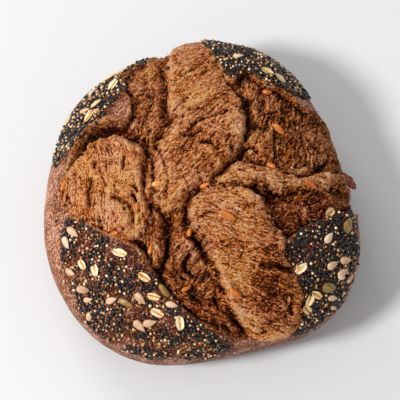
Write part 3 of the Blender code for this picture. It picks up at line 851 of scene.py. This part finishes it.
def flake(length, width, thickness, rings, around):
    """A thin uneven disc, creased along its length and cupped."""
    top, bottom = [(0, 0, 0.15)], [(0, 0, -thickness)]
    for n in range(1, rings + 1):
        r = n / rings
        for m in range(around):
            a = 2 * pi * m / around
            edge = 1 + 0.05 * sin(2 * a + 1) + 0.04 * sin(5 * a) + 0.03 * sin(9 * a + 2)
            x, y = r * edge * cos(a), r * edge * sin(a)
            cup = 0.9 * y * y + 0.3 * x * x - 0.7 * (1 - min(1, abs(y) / 0.2)) * (1 - 0.7 * r * r)
            rim = thickness * (1 - 0.85 * r**3)
            top.append((length * x, width * y, cup))
            bottom.append((length * x, width * y, cup - rim))
    count = len(top)
    faces = []
    for m in range(around):
        k = (m + 1) % around
        faces += [(0, 1 + m, 1 + k), (count, count + 1 + k, count + 1 + m)]
        for n in range(rings - 1):
            a, b = 1 + n * around + m, 1 + n * around + k
            faces.append((a, a + around, b + around, b))
            faces.append((count + a, count + b, count + b + around, count + a + around))
        a, b = 1 + (rings - 1) * around + m, 1 + (rings - 1) * around + k
        faces.append((a, count + a, count + b, b))
    return np.array(top + bottom), faces


rolled, shader, start = new_material("oat flake")
inside = mark(start, "local", "Vector")
streaks = inside.scaled(0.6, 2.5, 1).noise(0.7, 3, 0.65)
toasted = (0.55 + (streaks - 0.5) * 2.0 + (mark(start, "own") - 0.5) * 0.3).held()
side = inside.node("SeparateXYZ", None, {"Vector": inside}, out=1)
creased = (1 - side.maths("ABSOLUTE", side, 0)).between(0.62, 0.95)
toasted = (toasted - creased * 0.45 + 0.1).held()
start.feed(
    shader.inputs["Base Color"],
    toasted.ramp(
        (0.0, colour(158, 92, 34)), (0.35, colour(224, 168, 92)), (0.6, colour(244, 216, 164)),
        (1.0, colour(255, 244, 218)),
    ),
)
shader.inputs["Roughness"].default_value = 0.65
thin = flake(4.6, 2.7, 0.7, rings=6, around=22)
lay("oat_flakes", thin, OATS, rolled, sink=-0.35, tilt=8, seed=6)


# Wheat grains that came up with the torn crumb: whole, glossy and orange-brown, half sunk in the
# dough that baked round them.

LONG_GRAINS = [(19, -31, -25), (25, -85, -35), (59, 42, -20), (82, 0, -30)]
GRAINS = [
    (53, 9, -40), (3, -6, 60), (-56, -40, 0), (-32, -50, 80), (-103, 1, 75), (48, 69, -15),
    (62, -83, 80), (-10, -79, 20), (-30, -6, 10), (-8, -40, 60),
]

grain, shader, start = new_material("baked grain")
inside = mark(start, "local", "Vector")
varied = (0.5 + (inside.noise(0.9, 3, 0.6) - 0.5) * 1.4 + (mark(start, "own") - 0.5) * 0.5).held()
start.feed(
    shader.inputs["Base Color"],
    varied.ramp((0.0, colour(150, 64, 14)), (0.5, colour(222, 124, 40)), (1.0, colour(252, 188, 112))),
)
shader.inputs["Roughness"].default_value = 0.2
whole = plump(3.7, 1.8, 1.6, blunt=0.15, around=12, along=9, tip=0.6)
lay("baked_grains", whole, GRAINS, grain, sink=-0.05, tilt=8, seed=7)
swollen = plump(5.6, 2.1, 1.9, blunt=0.15, around=12, along=9, tip=0.6)
lay("long_baked_grains", swollen, LONG_GRAINS, grain, sink=0.1, tilt=5, seed=7)


# Black sesame: flat dull drops, in thousands, that the dough was rolled in before it was cut. They
# lie thickest on the right and back flaps and in clumps on the left front one, and a few strayed.

# Half sizes of the big kernels, which the small seed keeps clear of: u, v, turn, length, width.
BIG = [(*p, 4.4, 2.2) for p in SUNFLOWERS + OATS] + [(*p, 6.2, 3.4) for p in PUMPKINS + NARROW_PUMPKINS]
TRIES_A_SEED = 9
THINS_OUT = (-2, 9)
CLUMP_SIZE = 13

# How close the black seed lies on each flap, and how clumped it is.
BLACK_SPREAD = {
    "left front": (2.4, 1.6), "right front": (2.05, 0.8),
    "right back": (2.2, 0.6), "left back": (2.4, 0.6),
}
STRAY = [(-66, 23, 60), (-52, -23, 80), (-32, -30, 20), (-71, -30, 50), (-108, -26, 0), (-23, 90, 40)]


def under_kernel(u, v, kernel):
    """Whether a small seed here would lie within a big kernel of u, v, turn and these halves."""
    turn = radians(kernel[2])
    along = (u - kernel[0]) * cos(turn) + (v - kernel[1]) * sin(turn)
    across = (v - kernel[1]) * cos(turn) - (u - kernel[0]) * sin(turn)
    return (along / kernel[3]) ** 2 + (across / kernel[4]) ** 2 < 1


def scattered(spine, gap, seed, clumps, share=1.0):
    """Places spread over a seeded patch, no closer than the gap and clear of the big kernels."""
    chance = random.Random(seed)
    reach = np.array(spine, float)
    low, high = (reach[:, :2] - reach[:, 2:]).min(0), (reach[:, :2] + reach[:, 2:]).max(0)
    tries = int(TRIES_A_SEED * (high - low).prod() / gap**2)
    tried = [(chance.uniform(low[0], high[0]), chance.uniform(low[1], high[1])) for _ in range(tries)]
    uv = np.array(tried)
    depth = in_limb(uv, spine)
    edge = eased(*THINS_OUT, depth)
    clumped = waves(np.column_stack([uv, 0 * depth]), CLUMP_SIZE, 2, seed)
    luck = np.array([chance.random() for _ in range(tries)])
    wanted = share * edge * np.clip(1 - clumps * (0.5 - 1.5 * clumped), 0, 1)
    good = (luck < wanted) & (inside_tear(uv)[0] < 0)
    found, taken = [], {}
    for u, v in uv[good]:
        row, column = int(u // gap), int(v // gap)
        cells = [(row + i, column + j) for i in (-1, 0, 1) for j in (-1, 0, 1)]
        near = [place for cell in cells for place in taken.get(cell, ())]
        if any((u - a) ** 2 + (v - b) ** 2 < gap * gap for a, b in near):
            continue
        if any(under_kernel(u, v, kernel) for kernel in BIG):
            continue
        taken.setdefault((row, column), []).append((u, v))
        found.append((u, v, chance.uniform(0, 360)))
    return found


black = list(STRAY)
for n, (patch, (gap, clumps)) in enumerate(BLACK_SPREAD.items()):
    black += scattered(SEEDED[patch], gap, 60 + n, clumps)

sesame, shader, start = new_material("black sesame")
inside = mark(start, "local", "Vector")
dusty = (0.35 + (inside.noise(0.8, 2, 0.6) - 0.5) * 1.4 + (mark(start, "own") - 0.5) * 0.6).held()
start.feed(
    shader.inputs["Base Color"],
    dusty.ramp((0.0, colour(8, 7, 8)), (0.6, colour(20, 19, 22)), (1.0, colour(76, 76, 84))),
)
shader.inputs["Roughness"].default_value = 0.42
drop = plump(1.95, 1.25, 0.8, blunt=0.3, around=6, along=5, tip=0.7)
lay("black_sesame_seed", drop, black, sesame, sink=0.0, tilt=26, heap=0.9, seed=8)


# Millet: small round pale grains toasted from cream to brown. They were mixed with the sesame and
# lie in its gaps, commoner at the back.

# How close it lies on each flap, and how common it is.
PALE_SPREAD = {
    "left front": (2.2, 0.075), "right front": (2.1, 0.10),
    "right back": (2.0, 0.16), "left back": (2.0, 0.17),
}
PALE_CLUMPS = 0.8
pale = []
for n, (patch, (gap, share)) in enumerate(PALE_SPREAD.items()):
    pale += scattered(SEEDED[patch], gap, 40 + n, PALE_CLUMPS, share)

millet, shader, start = new_material("pale grain")
inside = mark(start, "local", "Vector")
toasted = (0.5 + (inside.noise(1.2, 2, 0.6) - 0.5) * 1.2 + (mark(start, "own") - 0.5) * 1.0).held()
start.feed(
    shader.inputs["Base Color"],
    toasted.ramp((0.0, colour(168, 100, 46)), (0.5, colour(222, 170, 110)), (1.0, colour(250, 226, 188))),
)
shader.inputs["Roughness"].default_value = 0.5
bead = plump(1.1, 1.05, 0.95, blunt=0.1, around=8, along=6)
lay(
    "pale_millet", bead, pale, millet, sink=-0.15, tilt=20, sizes=(0.42, 1.05), heap=0.9,
    seed=9,
)


# Broken grain: crumbs and bits of milled grain that came with the seed, finer and more golden than
# it, caught between the seeds of every flap.

BIT_GAP = 2.7
BIT_CLUMPS = 1.0
bits = []
for n, patch in enumerate(SEEDED):
    bits += scattered(SEEDED[patch], BIT_GAP, 80 + n, BIT_CLUMPS)

crumbs, shader, start = new_material("broken grain")
varied = (0.5 + (mark(start, "own") - 0.5) * 1.2).held()
start.feed(
    shader.inputs["Base Color"],
    varied.ramp((0.0, colour(120, 64, 26)), (0.5, colour(206, 144, 78)), (1.0, colour(240, 206, 150))),
)
shader.inputs["Roughness"].default_value = 0.6
bit = plump(0.75, 0.45, 0.4, blunt=-0.2, around=4, along=4)
lay(
    "broken_grain", bit, bits, crumbs, sink=-0.3, tilt=30, sizes=(0.5, 1.3), heap=3.0,
    seed=10,
)


# Torn fibres: wisps of dough drawn out as the folds tore, thin, curled up at the tip and dried by
# the oven. They stand in the torn folds, mostly where these are ragged, along the stretch.

TORN_U = (-105, 150)
TORN_V = (-120, 140)
WISP_TRIES = 30000
WISP_SHARE = (0.03, 0.34)
WISP_STRAY = 28
CURL_FROM = -1.2
CURL = 0.16

chance = random.Random(5)
tried = np.array([[chance.uniform(*TORN_U), chance.uniform(*TORN_V)] for _ in range(WISP_TRIES)])
marked = surface(tried)[1]
likely = marked["torn"] * (WISP_SHARE[0] + WISP_SHARE[1] * marked["ragged"])
wisps = [
    (u, v, np.degrees(turn) + chance.gauss(0, WISP_STRAY) + chance.choice((0, 180)))
    for (u, v), turn, share in zip(tried, marked["turn"], likely)
    if chance.random() < share
]
wisp = plump(3.0, 0.36, 0.3, blunt=0.3, around=4, along=5, tip=1.0)
wisp[0][:, 2] += CURL * np.maximum(wisp[0][:, 0] - CURL_FROM, 0) ** 2
thread, shader, start = new_material("torn fibre")
varied = (0.5 + (mark(start, "own") - 0.5) * 1.2).held()
start.feed(
    shader.inputs["Base Color"],
    varied.ramp((0.0, colour(104, 50, 20)), (0.5, colour(172, 98, 46)), (1.0, colour(226, 160, 96))),
)
shader.inputs["Roughness"].default_value = 0.7
lay("torn_fibres", wisp, wisps, thread, sink=0.9, tilt=14, sizes=(0.5, 1.6), seed=12)


# A shard of crust: a knotty splinter that split off the torn edge and baked dark. It stands out at
# the right end of the ridge, bowed outward, held by its foot.

SHARD_AT = (127.0, 18.0)
SHARD_LEAN = 0.35
SHARD_STANDS = 3.5
SHARD_BOW = 0.012
SHARD_KNOTS = (0.5, 3.2)

place = np.array([SHARD_AT])
step_u, step_v, plain_out = (way[0] for way in crust_frame(place))
heading = plain_out * SHARD_LEAN - step_v
heading /= np.linalg.norm(heading)
width_way = np.cross(step_u / np.linalg.norm(step_u), heading)
corners, faces = plump(10, 3.0, 2.4, blunt=-0.25, around=14, along=16, tip=0.6)
knotted = 1 + SHARD_KNOTS[0] * waves(corners, SHARD_KNOTS[1], 2, 71)
x, y, z = corners.T
laid = seats(place)[0][0] + plain_out * SHARD_STANDS + np.outer(x, heading)
laid += np.outer(y * knotted, width_way) + np.outer((z + SHARD_BOW * x * x) * knotted, step_u)
mesh = bpy.data.meshes.new("crust shard")
mesh.from_pydata((within_box(laid) * MM).tolist(), [], faces)
mesh.shade_smooth()
shard = bpy.data.objects.new("crust_shard", mesh)
bpy.context.collection.objects.link(shard)
flaked, shader, start = new_material("flaked crust")
at = start.node("TexCoord", out="Object").scaled(1000, 1000, 1000)
dark = (0.5 + (at.noise(2.0, 3, 0.7) - 0.5) * 2).held()
start.feed(
    shader.inputs["Base Color"],
    dark.ramp((0.0, colour(46, 18, 12)), (0.5, colour(120, 54, 32)), (1.0, colour(196, 116, 80))),
)
shader.inputs["Roughness"].default_value = 0.6
mesh.materials.append(flaked)
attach(shard, "root")


# The loaf lies on a plain pale board. One soft light comes from the left like a window's, a weaker
# one from a pale wall at the left back, and the light of a pale room fills in.

FLOOR_HALF = 4.0
mesh = bpy.data.meshes.new("floor")
floor_corners = [(x * FLOOR_HALF, y * FLOOR_HALF, 0) for x, y in ((-1, -1), (1, -1), (1, 1), (-1, 1))]
mesh.from_pydata(floor_corners, [], [(0, 1, 2, 3)])
floor = bpy.data.objects.new("floor", mesh)
bpy.context.collection.objects.link(floor)
board, shader, start = new_material("pale board")
shader.inputs["Base Color"].default_value = (0.785, 0.785, 0.79, 1)
shader.inputs["Roughness"].default_value = 0.9
mesh.materials.append(board)


def softbox(name, azimuth, elevation, distance, size, watts):
    """A round soft light, turned to the loaf."""
    lamp = bpy.data.lights.new(name, "AREA")
    lamp.shape, lamp.size, lamp.energy = "DISK", size, watts
    light = bpy.data.objects.new(name, lamp)
    a, e = radians(azimuth), radians(elevation)
    way = Vector((cos(a) * cos(e), sin(a) * cos(e), sin(e)))
    light.location = way * distance
    light.rotation_euler = way.to_track_quat("Z", "Y").to_euler()
    bpy.context.collection.objects.link(light)


softbox("window", azimuth=205, elevation=47, distance=2.8, size=0.6, watts=60)
softbox("pale wall", azimuth=120, elevation=32, distance=2.8, size=1.4, watts=20)
room = bpy.data.worlds.new("room")
bpy.context.scene.world = room
room.use_nodes = True
room.node_tree.nodes["Background"].inputs["Color"].default_value = (1, 1, 1, 1)
room.node_tree.nodes["Background"].inputs["Strength"].default_value = 0.46
bpy.context.scene.view_settings.view_transform = "Standard"


# The camera looks down at the loaf from the front, steeply enough for the whole crown to show, and
# aims a little above its middle.

LOOK_DOWN = 68
CAMERA_DISTANCE = 1.15
MM_A_PIXEL = 0.713
PIXELS = 400
AIM_HEIGHT = 42
AIM_ABOVE = 5

slope = radians(LOOK_DOWN)
back = Vector((0, -cos(slope), sin(slope)))
up = back.cross(Vector((1, 0, 0)))
target = Vector((-MIDDLE[0], -MIDDLE[1], AIM_HEIGHT)) * MM + up * AIM_ABOVE * MM_A_PIXEL * MM
eye = bpy.data.objects.new("camera", bpy.data.cameras.new("camera"))
eye.location = target + back * CAMERA_DISTANCE
eye.rotation_euler = back.to_track_quat("Z", "Y").to_euler()
eye.data.lens = eye.data.sensor_width * CAMERA_DISTANCE / (MM_A_PIXEL * MM * PIXELS)
bpy.context.collection.objects.link(eye)
bpy.context.scene.camera = eye
